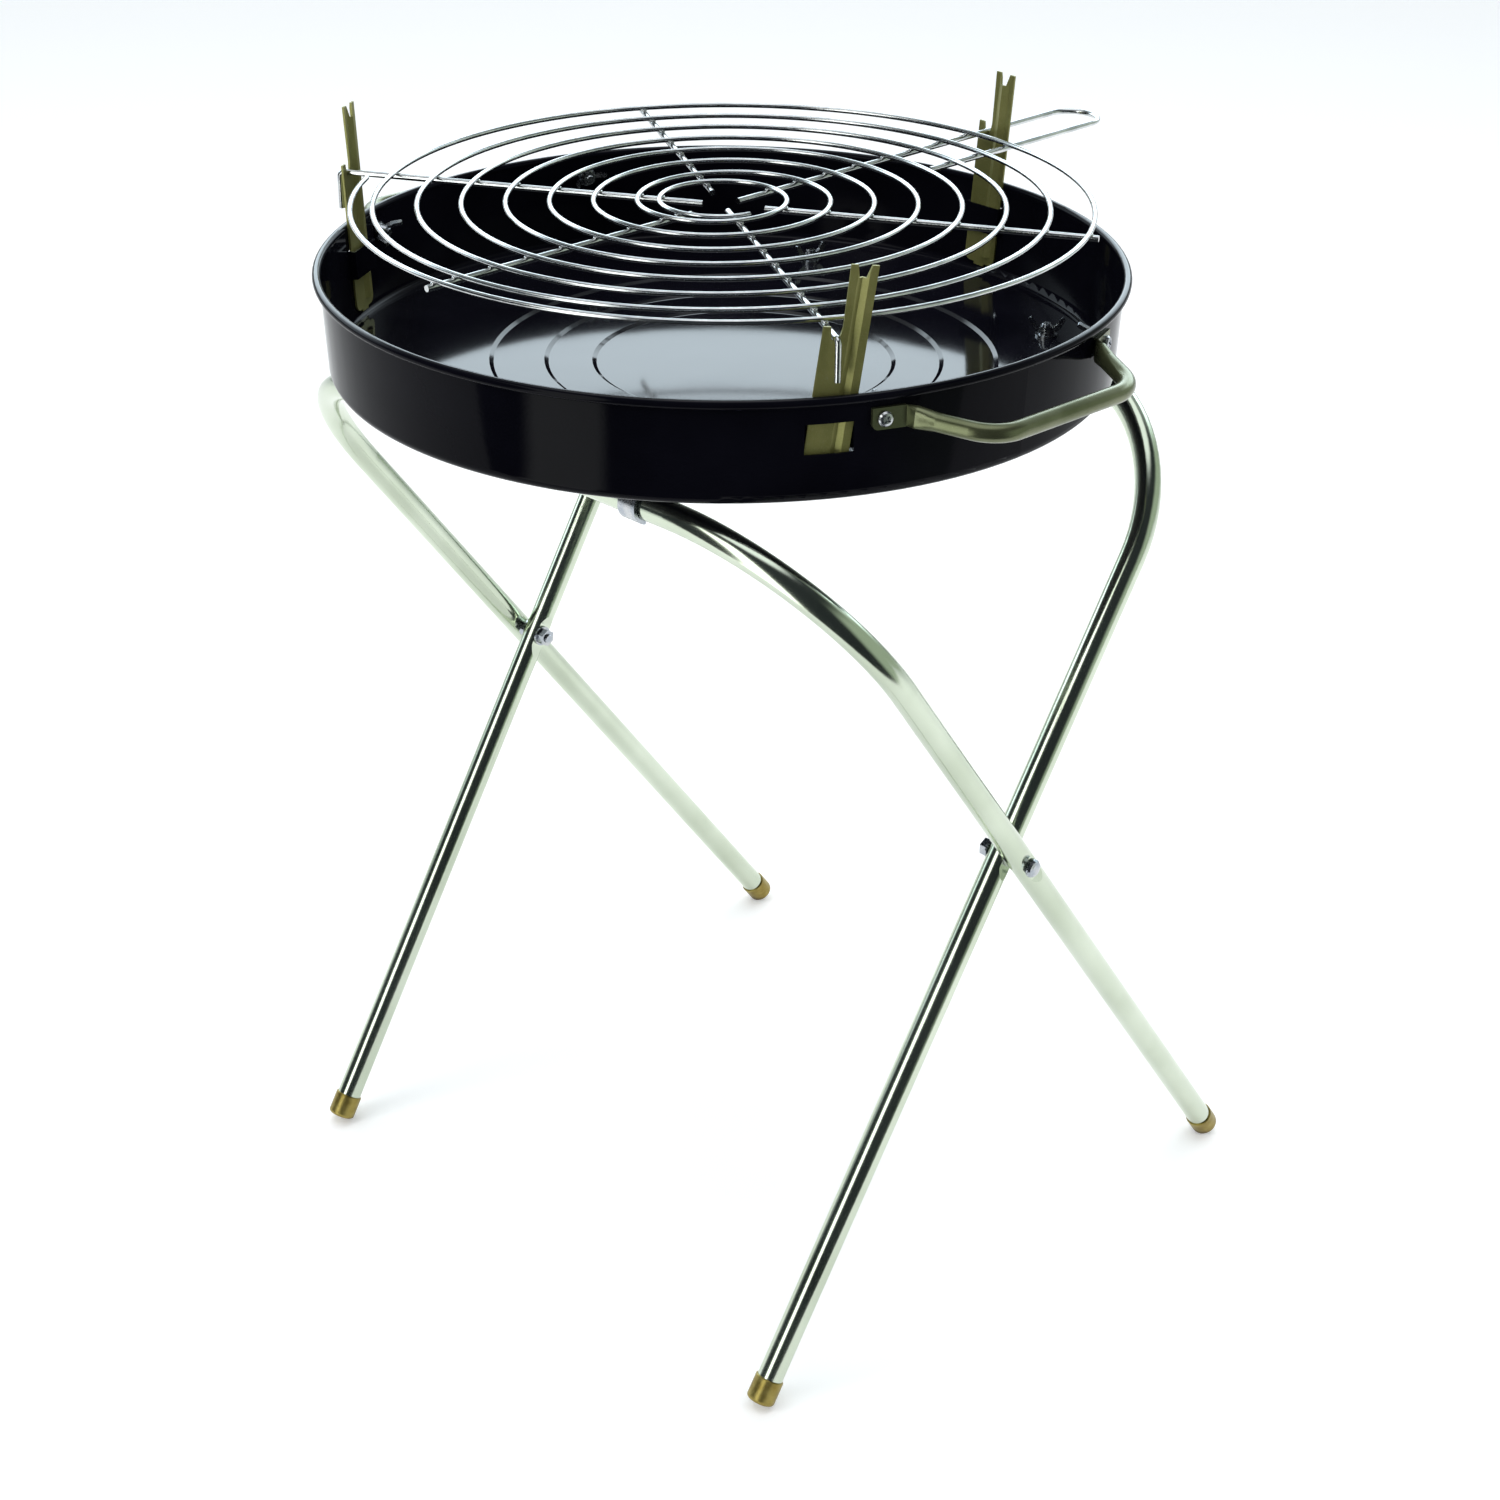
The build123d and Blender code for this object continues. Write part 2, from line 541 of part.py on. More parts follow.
def hoop(plane, half, lean, taper, bend, bar, bore):
    """Bent tube, pinched flat where the pivot bolts pass."""
    top = bar / cos(radians(lean))
    up = Vector(sin(radians(taper)), cos(radians(taper)), 0)
    foot = foot_at(half, lean, taper) + up * cap_floor
    wide = half + top * tan(radians(taper))
    with BuildLine(plane) as path:
        FilletPolyline((foot.X, foot.Y), (wide, top), (-wide, top), (-foot.X, foot.Y), radius=bend)
    with BuildSketch(Plane(origin=path.line @ 0, z_dir=path.line % 0)) as profile:
        Circle(tube_r)
        Circle(tube_r - tube_wall, mode=Mode.SUBTRACT)
    sweep(profile.sketch, path=path.line)
    long = pinch_flat / 2 + pinch_ramp
    flat = tube_r - pinch
    for side in (-1, 1):
        leg = Plane(origin=plane.from_local_coords((side * half, 0, 0)),
                    z_dir=plane.from_local_coords((side * up.X, up.Y, 0)) - plane.origin)
        with BuildSketch(leg.offset(-long)) as core:
            Circle(tube_r - tube_wall / 2)
        extrude(core.sketch, amount=2 * long)
        for face in (-1, 1):
            with BuildSketch(plane) as dent:
                with Locations((side * half, 0)):
                    Polygon((face * (tube_r + 1), -long - 2), (face * (tube_r + 1), long + 2),
                            (face * flat, pinch_flat / 2), (face * flat, -pinch_flat / 2), align=None)
            extrude(dent.sketch, amount=tube_r + 1, both=True, mode=Mode.SUBTRACT)
    with BuildSketch(Plane.YZ.offset(-half - 2 * tube_r)) as hole:
        with Locations((pivot_y, pivot_height)):
            Circle(bore)
    extrude(hole.sketch, amount=2 * (half + 2 * tube_r), mode=Mode.SUBTRACT)


def foot_caps(plane, half, lean, taper):
    """Two cups on the ends of a hoop, rounded where they stand."""
    at = foot_at(half, lean, taper)
    for side in (-1, 1):
        up = Vector(side * sin(radians(taper)), cos(radians(taper)), 0)
        seat = Plane(origin=plane.from_local_coords((side * at.X, at.Y, 0)),
                     z_dir=plane.from_local_coords(up) - plane.origin)
        with BuildSketch(Plane(origin=seat.origin, x_dir=seat.x_dir, z_dir=-seat.y_dir)) as cup:
            with BuildLine():
                inner = tube_r + cap_fit
                Polyline((0, cap_floor - cap_fit), (0, 0), (cap_r - cap_round, 0))
                CenterArc((cap_r - cap_round, cap_round), cap_round, -90, 90)
                Polyline((cap_r, cap_round), (cap_r, cap_length - 0.5), (cap_r - 0.4, cap_length),
                         (inner, cap_length), (inner, cap_floor - cap_fit), (0, cap_floor - cap_fit))
            make_face()
        revolve(cup.sketch, axis=Axis(seat.origin, seat.z_dir))


inner_plane = hoop_plane(inner_lean, 1)
outer_plane = hoop_plane(outer_lean, -1)

with BuildPart() as inner_leg_hoop:
    hoop(inner_plane, inner_half, inner_lean, inner_taper, inner_bend, inner_bar_z - pivot_height,
         bolt_r + pivot_running)
inner_leg_hoop.part.label = "inner_leg_hoop"
export_step(inner_leg_hoop.part, "parts/inner_leg_hoop.step")

with BuildPart() as outer_leg_hoop:
    hoop(outer_plane, outer_half, outer_lean, outer_taper, outer_bend, outer_bar_z - pivot_height,
         bolt_r + hole_fit)
outer_leg_hoop.part.label = "outer_leg_hoop"
export_step(outer_leg_hoop.part, "parts/outer_leg_hoop.step")

with BuildPart() as inner_foot_caps:
    foot_caps(inner_plane, inner_half, inner_lean, inner_taper)
inner_foot_caps.part.label = "inner_foot_caps"
export_step(inner_foot_caps.part, "parts/inner_foot_caps.step")

with BuildPart() as outer_foot_caps:
    foot_caps(outer_plane, outer_half, outer_lean, outer_taper)
outer_foot_caps.part.label = "outer_foot_caps"
export_step(outer_foot_caps.part, "parts/outer_foot_caps.step")


# ---- leg pivots: each bolt passes outer leg, spacer, inner leg, washer and nut -------------------
pinched = tube_r - pinch
pivot_head = outer_half + pinched + seat_fit
pivot_spacer_in = inner_half + pinched + pivot_side
pivot_washer_out = inner_half - pinched - pivot_side
pivot_nut_out = pivot_washer_out - washer_sheet - seat_fit


def pivot_plane(side, x):
    """Plane across a pivot at a distance from the middle, normal towards the middle."""
    return Plane(origin=(side * x, pivot_y, pivot_height), x_dir=(0, 0, 1), z_dir=(-side, 0, 0))


with BuildPart() as pivot_bolts:
    for side in (-1, 1):
        bolt(pivot_plane(side, pivot_head), bolt_r, pivot_head - pivot_nut_out + nut_height + bolt_end,
             bolt_head_r, bolt_head_height)
pivot_bolts.part.label = "pivot_bolts"
export_step(pivot_bolts.part, "parts/pivot_bolts.step")

with BuildPart() as pivot_spacers:
    spacer_out = outer_half - pinched - seat_fit
    for side in (-1, 1):
        ring(pivot_plane(side, spacer_out), spacer_r, bolt_r + hole_fit, spacer_out - pivot_spacer_in)
pivot_spacers.part.label = "pivot_spacers"
export_step(pivot_spacers.part, "parts/pivot_spacers.step")

with BuildPart() as pivot_washers:
    for side in (-1, 1):
        ring(pivot_plane(side, pivot_washer_out), washer_r, bolt_r + hole_fit, washer_sheet)
pivot_washers.part.label = "pivot_washers"
export_step(pivot_washers.part, "parts/pivot_washers.step")

with BuildPart() as pivot_nuts:
    for side in (-1, 1):
        with BuildSketch(pivot_plane(side, pivot_nut_out)):
            RegularPolygon(nut_flats / 2, 6, major_radius=False)
            Circle(bolt_r + hole_fit, mode=Mode.SUBTRACT)
        extrude(amount=nut_height)
pivot_nuts.part.label = "pivot_nuts"
export_step(pivot_nuts.part, "parts/pivot_nuts.step")


# ---- straps and hooks under the floor ------------------------------------------------------------
with BuildPart() as rear_bar_straps:
    loop_in = tube_r + bar_running
    loop_out = loop_in + loop_sheet
    for x in strap_x:
        with BuildSketch(Plane.YZ.offset(x)):
            with Locations((inner_bar_y, inner_bar_z)):
                Circle(loop_out)
                Polygon((0, loop_out), (-clip_bolt - clip_end, loop_out),
                        (-clip_bolt - clip_end, loop_in - loop_sheet), (-loop_out + 0.6, loop_in - loop_sheet),
                        (-loop_out + 0.2, 0), (0, 0), align=None)
                Circle(loop_in, mode=Mode.SUBTRACT)
        extrude(amount=clip_width / 2, both=True)
        with BuildSketch(Plane.XY.offset(inner_bar_z)):
            with Locations((x, rear_bolt_y)):
                Circle(bolt_r + hole_fit)
        extrude(amount=2 * loop_out, mode=Mode.SUBTRACT)
rear_bar_straps.part.label = "rear_bar_straps"
export_step(rear_bar_straps.part, "parts/rear_bar_straps.step")

with BuildPart() as front_bar_hooks:
    hook_in = tube_r + bar_catch
    hook_out = hook_in + hook_sheet
    lip = radians(180 + hook_open)
    half_way = radians(90 + (90 + hook_open) / 2)
    for x in hook_x:
        with BuildSketch(Plane(origin=(x, outer_bar_y, outer_bar_z), x_dir=(0, 1, 0), z_dir=(1, 0, 0))):
            with BuildLine():
                Polyline((clip_bolt + clip_end, hook_in), (clip_bolt + clip_end, hook_out), (0, hook_out))
                ThreePointArc((0, hook_out), (hook_out * cos(half_way), hook_out * sin(half_way)),
                              (hook_out * cos(lip), hook_out * sin(lip)))
                Line((hook_out * cos(lip), hook_out * sin(lip)), (hook_in * cos(lip), hook_in * sin(lip)))
                ThreePointArc((hook_in * cos(lip), hook_in * sin(lip)),
                              (hook_in * cos(half_way), hook_in * sin(half_way)), (0, hook_in))
                Line((0, hook_in), (clip_bolt + clip_end, hook_in))
            make_face()
        extrude(amount=clip_width / 2, both=True)
        hole = bolt_r + hole_fit
        turn(Plane(origin=(x, front_bolt_y, clip_top - hook_sheet), z_dir=(0, 0, 1)),
             [(0, -1), (hole + hook_sheet, -1), (hole + hook_sheet, 0), (hole, hook_sheet), (hole, 10), (0, 10)],
             mode=Mode.SUBTRACT)
front_bar_hooks.part.label = "front_bar_hooks"
export_step(front_bar_hooks.part, "parts/front_bar_hooks.step")

# ---- floor fasteners: the hooks are riveted, the straps have bolts with washers and wing nuts ----
nut_seat = floor_top + 2 * seat_fit + washer_sheet
with BuildPart() as rear_floor_bolts:
    under_strap = clip_top - 2 * loop_sheet - seat_fit
    for x, y in rear_bolts_at:
        bolt(Plane(origin=(x, y, under_strap), z_dir=(0, 0, 1)), bolt_r,
             nut_seat + wing_hub_height + bolt_end - under_strap, bolt_head_r, bolt_head_height)
rear_floor_bolts.part.label = "rear_floor_bolts"
export_step(rear_floor_bolts.part, "parts/rear_floor_bolts.step")

with BuildPart() as front_hook_rivets:      # flush below, so that the bar slides out past them
    under_hook = clip_top - hook_sheet + seat_fit
    head = floor_top + seat_fit - under_hook
    for x, y in front_rivets_at:
        turn(Plane(origin=(x, y, under_hook), z_dir=(0, 0, 1)),
             [(0, head + rivet_head_height), (rivet_head_r * 0.5, head + rivet_head_height * 0.93),
              (rivet_head_r * 0.85, head + rivet_head_height * 0.6), (rivet_head_r, head), (bolt_r, head),
              (bolt_r, hook_sheet), (bolt_r + hook_sheet, 0), (0, 0)])
front_hook_rivets.part.label = "front_hook_rivets"
export_step(front_hook_rivets.part, "parts/front_hook_rivets.step")

with BuildPart() as floor_spacers:
    for x, y in floor_holes_at:
        ring(Plane(origin=(x, y, clip_top + seat_fit), z_dir=(0, 0, 1)), spacer_r, bolt_r + hole_fit,
             spacer_height - 2 * seat_fit)
floor_spacers.part.label = "floor_spacers"
export_step(floor_spacers.part, "parts/floor_spacers.step")

with BuildPart() as floor_washers:
    for x, y in rear_bolts_at:
        ring(Plane(origin=(x, y, floor_top + seat_fit), z_dir=(0, 0, 1)), washer_r, bolt_r + hole_fit,
             washer_sheet)
floor_washers.part.label = "floor_washers"
export_step(floor_washers.part, "parts/floor_washers.step")

with BuildPart() as floor_wing_nuts:
    for (x, y), spin in zip(rear_bolts_at, (75, 40)):
        seat = Plane(origin=(x, y, nut_seat), x_dir=(1, 0, 0), z_dir=(0, 0, 1))
        wing_nut(turned(seat, 0, 0, spin), bolt_r + hole_fit)
floor_wing_nuts.part.label = "floor_wing_nuts"
export_step(floor_wing_nuts.part, "parts/floor_wing_nuts.step")
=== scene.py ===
from math import pi, radians, sqrt

import bpy
from mathutils import Matrix, Vector


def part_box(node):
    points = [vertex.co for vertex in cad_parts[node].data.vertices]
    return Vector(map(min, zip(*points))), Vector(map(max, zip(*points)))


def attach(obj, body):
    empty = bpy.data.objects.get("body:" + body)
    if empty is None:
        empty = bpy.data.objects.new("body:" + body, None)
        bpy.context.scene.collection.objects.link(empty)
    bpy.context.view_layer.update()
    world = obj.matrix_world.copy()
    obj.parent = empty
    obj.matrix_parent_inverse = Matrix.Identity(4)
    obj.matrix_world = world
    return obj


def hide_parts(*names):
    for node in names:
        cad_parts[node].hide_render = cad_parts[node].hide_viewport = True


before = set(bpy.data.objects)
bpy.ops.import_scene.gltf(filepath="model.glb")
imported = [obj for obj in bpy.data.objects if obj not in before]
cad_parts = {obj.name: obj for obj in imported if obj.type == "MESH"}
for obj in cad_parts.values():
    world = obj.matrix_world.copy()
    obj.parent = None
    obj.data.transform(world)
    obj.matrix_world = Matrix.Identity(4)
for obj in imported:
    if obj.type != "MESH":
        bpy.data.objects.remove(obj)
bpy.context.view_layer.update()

scene = bpy.context.scene
scene.view_settings.view_transform = "Standard"


# ---- Where the grill stands: on white paper in a bright room, with a lamp box above. The paper, the
# lamps and the eye don't belong to the grill. The room is what its bright metal mirrors: a lit far
# side, a dark near side with one narrow tall lamp, and a half-lit right side.
eye = bpy.data.cameras.new("eye")
eye.sensor_width = 36
eye.lens = 67.2213
eye.clip_end = 40
eye_right = Vector((0.70324992, 0.71089449, 0.00828162))
eye_up = Vector((-0.337076, 0.32314975, 0.88428164))
eye_back = Vector((0.62595473, -0.62466252, 0.4668805))
eye_stand = bpy.data.objects.new("eye", eye)
eye_stand.matrix_world = Matrix.Translation((1.118475, -1.127594, 1.130806)) @ Matrix(
    (eye_right, eye_up, eye_back)).transposed().to_4x4()
scene.collection.objects.link(eye_stand)
scene.camera = eye_stand


class Wire:
    """A socket of a node tree, on which sums and products add Math nodes."""

    def __init__(self, tree, socket=None):
        self.tree = tree
        self.socket = socket

    def node(self, kind, settings=None, sockets=None, give=0):
        """Adds a node: its settings or its ramp's stops first, then its sockets' values or links."""
        made = self.tree.nodes.new(kind)
        for name, value in (settings or {}).items():
            if name == "stops":
                ramp = made.color_ramp.elements
                for place, shade in value[2:]:
                    ramp.new(place)
                for element, (place, shade) in zip(ramp, value):
                    element.position = place
                    element.color = (*shade, 1) if isinstance(shade, tuple) else (shade, shade, shade, 1)
            else:
                setattr(made, name, value)
        for name, value in (sockets or {}).items():
            if isinstance(value, Wire):
                self.tree.links.new(value.socket, made.inputs[name])
            else:
                made.inputs[name].default_value = value
        return Wire(self.tree, made.outputs[give] if made.outputs else None)

    def other(self, give):
        """Another output of the same node."""
        return Wire(self.tree, self.socket.node.outputs[give])

    def math(self, operation, first, *others):
        return self.node("ShaderNodeMath", {"operation": operation}, dict(enumerate((first, *others))))

    def __add__(self, value):
        return self.math("ADD", self, value)

    def __sub__(self, value):
        return self.math("SUBTRACT", self, value)

    def __mul__(self, value):
        return self.math("MULTIPLY", self, value)

    def __truediv__(self, value):
        return self.math("DIVIDE", self, value)

    def __radd__(self, value):
        return self.math("ADD", value, self)

    def __rsub__(self, value):
        return self.math("SUBTRACT", value, self)

    def __rmul__(self, value):
        return self.math("MULTIPLY", value, self)

    def between(self, low, high):
        """0 below low, 1 above high, smooth in between."""
        return self.node("ShaderNodeMapRange", {"interpolation_type": "SMOOTHSTEP"},
                         {"Value": self, "From Min": low, "From Max": high})

    def mix(self, first, second):
        """The colour between two, with this socket as the share of the second."""
        return self.node("ShaderNodeMix", {"data_type": "RGBA"}, {0: self, 6: first, 7: second}, give=2)


room = bpy.data.worlds.new("room")
room.use_nodes = True
room.node_tree.nodes.clear()
start = Wire(room.node_tree)
way = start.node("ShaderNodeTexCoord", give="Generated")
far = start.node("ShaderNodeVectorMath", {"operation": "DOT_PRODUCT"},
                 {0: way, 1: (-0.708, 0.706, 0)}, give=1)
right = start.node("ShaderNodeVectorMath", {"operation": "DOT_PRODUCT"},
                   {0: way, 1: (0.706, 0.708, 0)}, give=1)
up = start.node("ShaderNodeSeparateXYZ", None, {0: way}, give=2)
lit_far = far.between(0.15, 0.5) * up.between(0.08, 0.2) * (1 - up.between(0.5, 0.62))
lit_right = right.between(0.55, 0.85) * (1 - up.between(0.4, 0.7))
from_lamp = (right + 0.62).math("ABSOLUTE", right + 0.62)
tall_lamp = (1 - from_lamp.between(0.10, 0.16)) * (1 - far.between(0.0, 0.2)) * (1 - up.between(0.55, 0.75))
ceiling = up.between(0.84, 0.95)
glow = far.between(0.0, 0.4).mix((0.03, 0.035, 0.04, 1), (0.34, 0.38, 0.38, 1))
glow = lit_far.mix(glow, (3.1, 3.6, 3.9, 1))
glow = lit_right.mix(glow, (0.50, 0.58, 0.48, 1))
glow = tall_lamp.mix(glow, (3.2, 3.3, 3.2, 1))
glow = ceiling.mix(glow, (1.4, 1.45, 1.5, 1))
ray = start.node("ShaderNodeLightPath")
glow = ray.other("Is Diffuse Ray").mix(glow, (0.32, 0.33, 0.34, 1))
glow = ray.mix(glow, (1, 1, 1, 1))
sky = start.node("ShaderNodeBackground", None, {0: glow, 1: 1.0})
start.node("ShaderNodeOutputWorld", None, {0: sky})
scene.world = room


def lamp_box(name, place, towards, wide, high, power):
    """A rectangular lamp that lights paint and paper; the bright metal mirrors only the room."""
    lamp = bpy.data.lights.new(name, "AREA")
    lamp.shape = "RECTANGLE"
    lamp.size = wide
    lamp.size_y = high
    lamp.energy = power
    stand = bpy.data.objects.new(name, lamp)
    stand.location = place
    stand.rotation_euler = (Vector(towards) - Vector(place)).to_track_quat("-Z", "Y").to_euler()
    stand.visible_glossy = False
    scene.collection.objects.link(stand)


lamp_box("lamp_above", (-0.2, 0.2, 3.0), (0, 0, 0.2), 3.4, 3.4, 66)
lamp_box("lamp_front_left", (-0.9, -2.2, 1.7), (0, 0, 0.6), 1.0, 1.4, 16)
lamp_box("lamp_right", (2.2, 0.6, 1.4), (0, 0, 0.6), 0.8, 1.4, 7)

paper = bpy.data.meshes.new("paper")
paper_near, paper_far, paper_half = -0.62, 9, 9
paper.from_pydata([(0.707 * (across - away), 0.707 * (across + away), 0) for across, away in (
    (-paper_half, paper_near), (paper_half, paper_near), (paper_half, paper_far), (-paper_half, paper_far))],
    [], [(0, 1, 2, 3)])
paper_sheet = bpy.data.objects.new("paper", paper)
scene.collection.objects.link(paper_sheet)
white_paper = bpy.data.materials.new("white paper")
white_paper.use_nodes = True
paper_shader = white_paper.node_tree.nodes["Principled BSDF"]
paper_shader.inputs["Base Color"].default_value = (0.93, 0.93, 0.93, 1)
paper_shader.inputs["Roughness"].default_value = 0.8
paper_shader.inputs["Specular IOR Level"].default_value = 0.0
paper_shader.inputs["Emission Color"].default_value = (1, 1, 1, 1)
paper_shader.inputs["Emission Strength"].default_value = 0.22
paper.materials.append(white_paper)


# ---- Fire pan: deep-drawn sheet steel with a rolled rim and three pressed steps in the floor, dipped
# and fired in black glass enamel. The glass has a faint ripple, thins over the rim and the steps,
# and holds a little dust on the floor.
def new_finish(name, **fixed):
    """A material, with what is the same all over set on the shader, and the start of its nodes."""
    made = bpy.data.materials.new(name)
    made.use_nodes = True
    shader = made.node_tree.nodes["Principled BSDF"]
    for socket, value in fixed.items():
        shader.inputs[socket.replace("_", " ")].default_value = value
    begin = Wire(made.node_tree)
    return made, begin, begin.node("ShaderNodeTexCoord", give="Object")


def set_finish(begin, base=None, roughness=None, metallic=None, coat=None, height=None, depth=0.0001):
    """Links what varies over the surface to the shader; the height goes through a Bump node."""
    shader = begin.tree.nodes["Principled BSDF"]
    for socket, wire in (("Base Color", base), ("Roughness", roughness), ("Metallic", metallic),
                         ("Coat Weight", coat)):
        if wire is not None:
            begin.tree.links.new(wire.socket, shader.inputs[socket])
    if height is not None:
        bump = begin.node("ShaderNodeBump", None, {"Height": height, "Distance": depth, "Strength": 1.0})
        begin.tree.links.new(bump.socket, shader.inputs["Normal"])


def noise(where, scale, detail=3.0, rough=0.5):
    return where.node("ShaderNodeTexNoise", None, {"Vector": where, "Scale": scale, "Detail": detail,
                                                   "Roughness": rough})


def dress(material, *nodes):
    for name in nodes:
        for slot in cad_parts[name].material_slots:
            slot.material = material


enamel, begin, at = new_finish("black enamel", Specular_IOR_Level=0.04, Coat_IOR=1.62, Coat_Roughness=0.07)
ripple = noise(at, 22, 1.0)
mottle = noise(at, 9, 4.0, 0.6)
dust = noise(at, 900, 2.0, 0.7).between(0.66, 0.8)
facing_up = begin.node("ShaderNodeNewGeometry", give="Normal")
facing_up = begin.node("ShaderNodeSeparateXYZ", None, {0: facing_up}, give=2).between(0.7, 0.98)
dust = dust * facing_up
shade = mottle.between(0.3, 0.75).mix((0.0018, 0.0018, 0.0034, 1), (0.0042, 0.0042, 0.0072, 1))
shade = (dust * 0.35).mix(shade, (0.09, 0.09, 0.085, 1))
set_finish(begin, base=shade, roughness=0.055 + mottle * 0.05 + dust * 0.25, coat=facing_up * 0.5,
           height=ripple * 0.7 + noise(at, 420, 1.0) * 0.03, depth=0.0003)
dress(enamel, "pan", "front_hook_rivets")


# ---- Grid posts: pressed strips with a V down the wide blade, pushed down behind the straps of the
# pan. Sprayed olive gold after they were cut; the spray is slightly grainy, and has worn through to
# bare metal in small spots, most of all at the tips.
post_paint, begin, at = new_finish("olive gold spray", Metallic=0.55, Specular_IOR_Level=0.4)
cloud = noise(at, 38, 4.0, 0.55)
grain = noise(at, 1600, 2.0, 0.6)
tip_wear = begin.node("ShaderNodeSeparateXYZ", None, {0: at}, give=2).between(0.690, 0.697)
scuff = noise(at, 260, 5.0, 0.7).between(0.62, 0.74) * (tip_wear * 0.75 + 0.12)
shade = cloud.between(0.25, 0.8).mix((0.200, 0.200, 0.062, 1), (0.285, 0.278, 0.098, 1))
shade = (grain.between(0.45, 0.75) * 0.25).mix(shade, (0.38, 0.37, 0.17, 1))
shade = scuff.mix(shade, (0.45, 0.45, 0.43, 1))
set_finish(begin, base=shade, roughness=0.36 + cloud * 0.12 - scuff * 0.1,
           height=grain * 0.5 + scuff * 0.8, depth=0.00004)
dress(post_paint, "post_left", "post_front", "post_back")


# ---- Side handles: steel tube bent to a bow, its ends hammered flat for one screw each. The lacquer
# is a darker olive bronze, glossier and lighter in soft random patches.
handle_paint, begin, at = new_finish("olive bronze lacquer", Metallic=0.82, Coat_Roughness=0.08)
cloud = noise(at, 30, 3.0, 0.5)
fleck = noise(at, 2200, 1.0, 0.5)
shade = cloud.between(0.3, 0.75).mix((0.105, 0.118, 0.058, 1), (0.165, 0.178, 0.098, 1))
shade = (fleck.between(0.55, 0.8) * 0.3).mix(shade, (0.30, 0.31, 0.2, 1))
set_finish(begin, base=shade, roughness=0.24 + cloud * 0.1, coat=cloud.between(0.2, 0.9) * 0.6,
           height=noise(at, 180, 2.0) * 0.7 + fleck * 0.15, depth=0.00006)
dress(handle_paint, "handle_right", "handle_left")


# ---- Fasteners: rolled screws and bolts, pressed washers and stamped wing nuts, all bright zinc with
# the faint blue of the passivation and a fine crystalline grain.
zinc, begin, at = new_finish("bright zinc plate", Metallic=1.0)
crystal = begin.node("ShaderNodeTexVoronoi", None, {"Vector": at, "Scale": 1400.0}, give="Color")
crystal = begin.node("ShaderNodeSeparateColor", None, {0: crystal}, give=0)
cloud = noise(at, 160, 3.0)
shade = cloud.between(0.3, 0.7).mix((0.36, 0.39, 0.43, 1), (0.52, 0.53, 0.54, 1))
set_finish(begin, base=shade, roughness=0.16 + crystal * 0.14, height=crystal * 0.4 + cloud, depth=0.00003)
dress(zinc, "handle_screws", "handle_washers", "handle_wing_nuts", "rear_floor_bolts", "floor_washers",
      "floor_wing_nuts", "floor_spacers", "rear_bar_straps", "front_bar_hooks", "pivot_bolts",
      "pivot_spacers", "pivot_washers", "pivot_nuts")


# ---- Grid spokes: hard-drawn wire, cut and bent, then plated with the spiral on it. Two hook over the
# posts, three are plain, and one is doubled back to a hairpin to lift the grid by.
bright_wire, begin, at = new_finish("bright plated wire", Metallic=1.0)
cloud = noise(at, 70, 3.0)
pits = noise(at, 2400, 1.0).between(0.6, 0.8)
shade = cloud.between(0.3, 0.7).mix((0.50, 0.52, 0.53, 1), (0.70, 0.71, 0.71, 1))
set_finish(begin, base=shade, roughness=0.11 + cloud * 0.12 + pits * 0.1,
           height=cloud * 0.5 - pits * 0.3, depth=0.00002)
dress(bright_wire, "grid_hook_wires", "grid_plain_wires", "grid_handle_wire")


# ---- Grid spiral: one length of thinner wire rolled into half turns whose centres change sides, so
# that each half turn comes in by half the pitch. It lies on the spokes and is welded to them.
MM = 0.001
spoke_r = 1.8 * MM
spiral_wire_r = 1.5 * MM
spiral_outer_r = 211.5 * MM
weld_r = 1.9 * MM
weld_flatness = 0.62
spiral_pitch = 25 * MM
spiral_half_turns = 16
spiral_lead = 10
spiral_tail = 124
spoke_angle = 45
spokes = 6
grid_low, grid_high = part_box("grid_spiral")
spoke_low, spoke_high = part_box("grid_plain_wires")
spiral_z = (grid_low.z + grid_high.z) / 2
pan_low, pan_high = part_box("pan")
pan_middle_y = (pan_low.y + pan_high.y) / 2


def new_rule(name, material, **sizes):
    """A Geometry Nodes tree with named sizes; gives its first wire, its sizes and what ends it."""
    tree = bpy.data.node_groups.new(name, "GeometryNodeTree")
    for size in sizes:
        tree.interface.new_socket(size, in_out="INPUT", socket_type="NodeSocketFloat")
    tree.interface.new_socket("Geometry", in_out="OUTPUT", socket_type="NodeSocketGeometry")
    first = Wire(tree)
    given = first.node("NodeGroupInput")

    def close(geometry, slot, body, *replaced):
        """Ends the tree, runs it with its sizes, and keeps the result as a plain piece on a body."""
        geometry = first.node("GeometryNodeSetShadeSmooth", None, {"Geometry": geometry})
        geometry = first.node("GeometryNodeRealizeInstances", None, {"Geometry": geometry})
        geometry = first.node("GeometryNodeSetMaterial", None, {"Geometry": geometry, "Material": material})
        first.node("NodeGroupOutput", None, {"Geometry": geometry})
        piece = bpy.data.objects.new(name, bpy.data.meshes.new(name))
        scene.collection.objects.link(piece)
        rule = piece.modifiers.new(name, "NODES")
        rule.node_group = tree
        for item in tree.interface.items_tree:
            if item.in_out == "INPUT":
                rule[item.identifier] = sizes[item.name]
        shape = piece.evaluated_get(bpy.context.evaluated_depsgraph_get())
        made = bpy.data.meshes.new_from_object(shape)
        piece.modifiers.clear()
        made.materials.clear()
        made.materials.append(material)
        made.polygons.foreach_set("material_index", [0] * len(made.polygons))
        piece.data = made
        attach(piece, body)
        if replaced:
            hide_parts(*replaced)
        return piece

    return first, {size: given.other(size) for size in sizes}, close


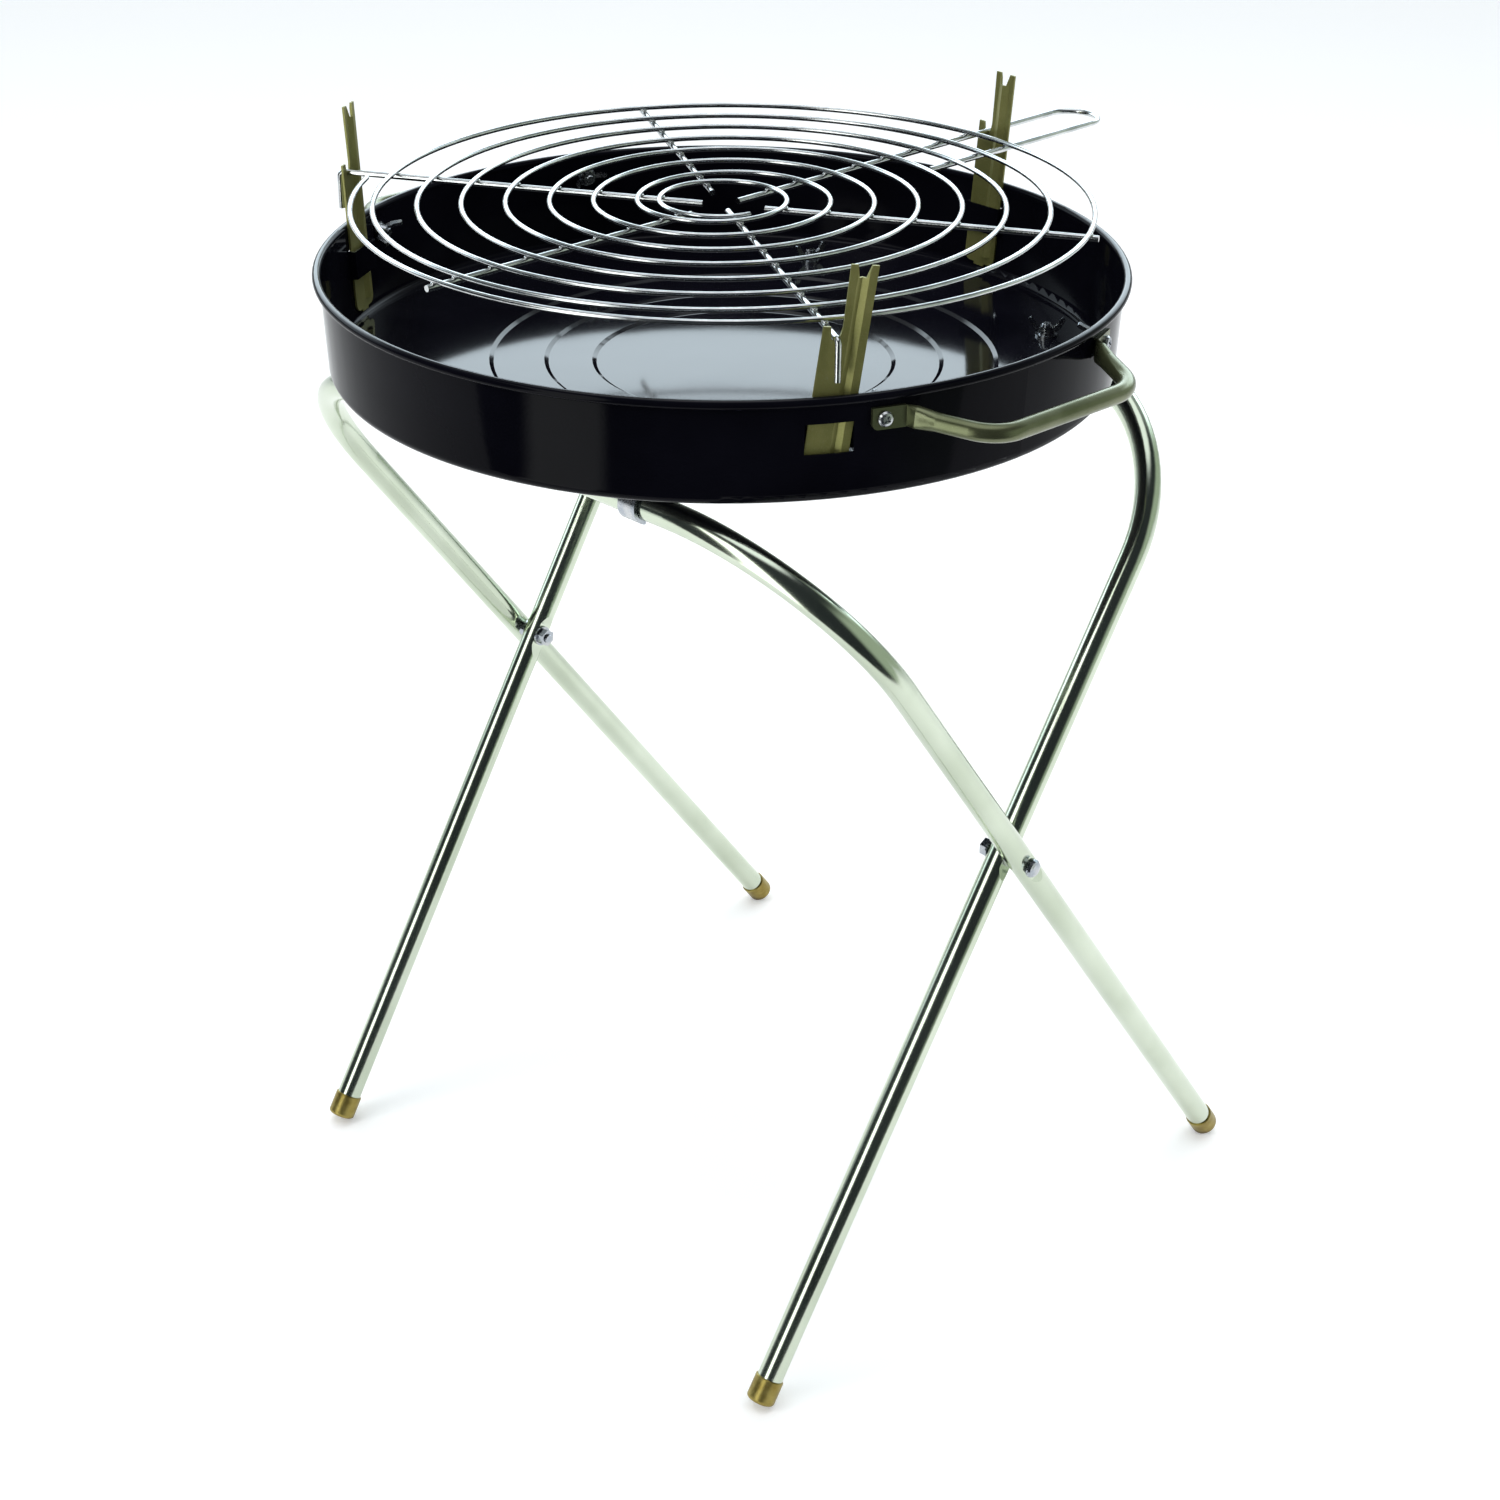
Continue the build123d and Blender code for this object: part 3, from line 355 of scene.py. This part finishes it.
def on_spiral(first, size, turned):
    """Where the spiral wire is after it has turned this far, in radians from its first half turn."""
    half_turn = first.math("MAXIMUM", first.math("FLOOR", turned / pi), 0.0)
    inmost = first.math("GREATER_THAN", half_turn, spiral_half_turns - 1.5)
    tail = first.math("GREATER_THAN", half_turn, spiral_half_turns - 0.5)
    narrowing = first.math("GREATER_THAN", half_turn, 0.5) * (1 - inmost)
    radius = (size["Outer radius"] - narrowing * (half_turn / 2 - 0.25) * size["Pitch"]
              - inmost * size["Pitch"] * (spiral_half_turns / 2 - 1) - tail * size["Pitch"] / 8)
    side = first.math("MODULO", half_turn, 2.0) * 2 - 1
    return radius, side * size["Pitch"] * (narrowing / 4 + tail / 8)


def placed(first, radius, centre, angle, height):
    """A point at an angle round its half turn's centre, turned to where the grid lies on the posts."""
    x = centre + radius * first.math("COSINE", angle)
    y = radius * first.math("SINE", angle)
    slant = sqrt(1 / 2)
    return first.node("ShaderNodeCombineXYZ", None,
                      {0: (x - y) * slant, 1: (x + y) * slant + pan_middle_y, 2: height})


first, size, close = new_rule(
    "spiral_wire", bright_wire,
    **{"Outer radius": spiral_outer_r, "Pitch": spiral_pitch, "Wire radius": spiral_wire_r,
       "Height": spiral_z})
whole_turn = radians(spiral_lead + 180 * spiral_half_turns + spiral_tail)
points = 1000
section_sides = 14
turned = first.node("GeometryNodeInputIndex") * (whole_turn / (points - 1)) - radians(spiral_lead)
radius, centre = on_spiral(first, size, turned)
line = first.node("GeometryNodeCurvePrimitiveLine")
line = first.node("GeometryNodeResampleCurve", None, {"Curve": line, "Count": points})
line = first.node("GeometryNodeSetPosition", None, {
    "Geometry": line, "Position": placed(first, radius, centre, turned + pi, size["Height"])})
section = first.node("GeometryNodeCurvePrimitiveCircle", None,
                     {"Resolution": section_sides, "Radius": size["Wire radius"]})
wire = first.node("GeometryNodeCurveToMesh", None,
                  {"Curve": line, "Profile Curve": section, "Fill Caps": True})
close(wire, "wire_chrome", "grid", "grid_spiral")


# ---- Grid welds: where the spiral crosses a spoke the two wires were pressed together hot, which
# leaves a small flat bead of metal in the corner between them.
first, size, close = new_rule(
    "spiral_welds", bright_wire,
    **{"Outer radius": spiral_outer_r, "Pitch": spiral_pitch, "Bead radius": weld_r,
       "Height": (spoke_low.z + spoke_high.z) / 2 + spoke_r})
step = 2 * pi / spokes
count = int((whole_turn - radians(spiral_lead)) / step)
turned = first.node("GeometryNodeInputIndex") * step + radians(spoke_angle)
radius, centre = on_spiral(first, size, turned)
swing = first.math("ARCSINE", centre * first.math("SINE", turned + pi) / radius)
dots = first.node("GeometryNodePoints", None, {"Count": count, "Position": placed(
    first, radius, centre, turned + pi + swing, size["Height"])})
bead = first.node("GeometryNodeMeshUVSphere", None,
                  {"Segments": 12, "Rings": 8, "Radius": size["Bead radius"]})
beads = first.node("GeometryNodeInstanceOnPoints", None,
                   {"Points": dots, "Instance": bead, "Scale": (1, 1, weld_flatness)})
close(beads, "wire_chrome", "grid")


# ---- Leg hoops: seamed tube of five eighths of an inch, bent to two hoops and pinched flat at the
# pivots, with thin bright nickel over it. The plating has a yellow-green cast and is slightly cloudy.
tube_plate, begin, at = new_finish("bright nickel plate", Metallic=1.0)
cloud = noise(at, 16, 3.0, 0.5)
fine = noise(at, 900, 2.0, 0.6)
shade = cloud.between(0.25, 0.75).mix((0.50, 0.56, 0.44, 1), (0.62, 0.68, 0.56, 1))
set_finish(begin, base=shade, roughness=0.10 + cloud * 0.08 + fine * 0.05,
           height=noise(at, 60, 2.0) + fine * 0.1, depth=0.00005)
dress(tube_plate, "inner_leg_hoop", "outer_leg_hoop")


# ---- Foot caps: brass cups pressed over the ends of the tube, darker and rougher in their lowest few millimetres next to the floor.
brass, begin, at = new_finish("rubbed brass", Metallic=1.0)
cloud = noise(at, 120, 4.0, 0.6)
sole = begin.node("ShaderNodeSeparateXYZ", None, {0: at}, give=2).between(0.001, 0.006)
shade = cloud.between(0.3, 0.7).mix((0.24, 0.18, 0.045, 1), (0.36, 0.29, 0.09, 1))
shade = sole.mix((0.17, 0.13, 0.07, 1), shade)
set_finish(begin, base=shade, roughness=0.3 + cloud * 0.15 + (1 - sole) * 0.2,
           height=noise(at, 700, 3.0, 0.7), depth=0.00006)
dress(brass, "inner_foot_caps", "outer_foot_caps")
